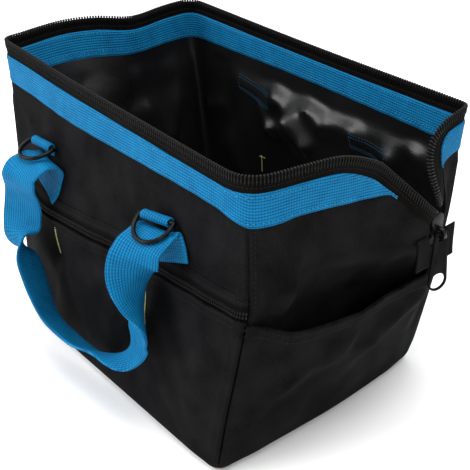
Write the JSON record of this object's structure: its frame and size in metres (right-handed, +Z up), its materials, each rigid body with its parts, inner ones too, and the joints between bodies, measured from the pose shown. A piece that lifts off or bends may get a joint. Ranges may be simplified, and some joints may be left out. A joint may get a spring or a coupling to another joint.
{
  "type": "tool bag",
  "caption": "Soft open-topped tool bag with an unzipped mouth, blue webbing trim and handles, ring tabs, a zipped front pocket and an open end pocket.",
  "frame": {"origin": "middle of the base on the ground", "axes": "+X to the end with the zip tail, -Y to the front pocket, +Z up"},
  "size_m": [0.3478, 0.2967, 0.2403],
  "materials": {
    "canvas": "matte black woven polyester, coated inside",
    "webbing_blue": "ribbed bright blue webbing",
    "webbing_black": "black woven tab",
    "zip_tape": "black woven zip tape",
    "zip_coil": "black nylon coil",
    "black_metal": "gunmetal black",
    "black_paint": "satin black paint"
  },
  "bodies": {
    "bag": {"base_panel": "canvas", "front_panel": "canvas", "back_panel": "canvas", "left_end_panel": "canvas", "right_end_panel": "canvas", "mouth_band_front": "webbing_blue", "zip_tape_front": "zip_tape", "zip_coil_front": "zip_coil", "mouth_band_back": "webbing_blue", "zip_tape_back": "zip_tape", "zip_coil_back": "zip_coil", "front_pocket": "canvas", "pocket_zip": "zip_tape", "pocket_zip_slider": "black_metal", "end_pocket": "canvas", "handle_front": "webbing_blue", "handle_back": "webbing_blue", "d_ring_tab_front_left": "webbing_blue", "d_ring_tab_front_right": "webbing_blue", "d_ring_tab_back_left": "webbing_blue", "d_ring_tab_back_right": "webbing_blue", "zip_slider": "black_metal", "zip_tail": "zip_tape", "zip_end_tab": "webbing_black"},
    "ring_front_left": {"d_ring_front_left": "black_metal"},
    "ring_front_right": {"d_ring_front_right": "black_metal"},
    "ring_back_left": {"d_ring_back_left": "black_metal"},
    "ring_back_right": {"d_ring_back_right": "black_metal"},
    "pull": {"zip_pull": "black_paint"}
  },
  "joints": [
    {"name": "ring_front_left_hinge", "type": "hinge", "parent": "bag", "child": "ring_front_left", "pos_m": [-0.094, -0.10042, 0.1745], "axis": [-0.9976, -0.0698, 0], "range_deg": [0, 100]},
    {"name": "ring_front_right_hinge", "type": "hinge", "parent": "bag", "child": "ring_front_right", "pos_m": [0.0585, -0.10202, 0.1745], "axis": [-0.9563, -0.2924, 0], "range_deg": [0, 115]},
    {"name": "ring_back_left_hinge", "type": "hinge", "parent": "bag", "child": "ring_back_left", "pos_m": [-0.0725, 0.11232, 0.1745], "axis": [0.9563, 0.2924, 0], "range_deg": [0, 115]},
    {"name": "ring_back_right_hinge", "type": "hinge", "parent": "bag", "child": "ring_back_right", "pos_m": [0.08, 0.11029, 0.1745], "axis": [0.9976, 0.0698, 0], "range_deg": [0, 100]},
    {"name": "pull_hinge", "type": "hinge", "parent": "bag", "child": "pull", "pos_m": [0.17184, 0.06054, 0.15541], "axis": [0, -0.9994, -0.0349], "range_deg": [0, 150]}
  ]
}
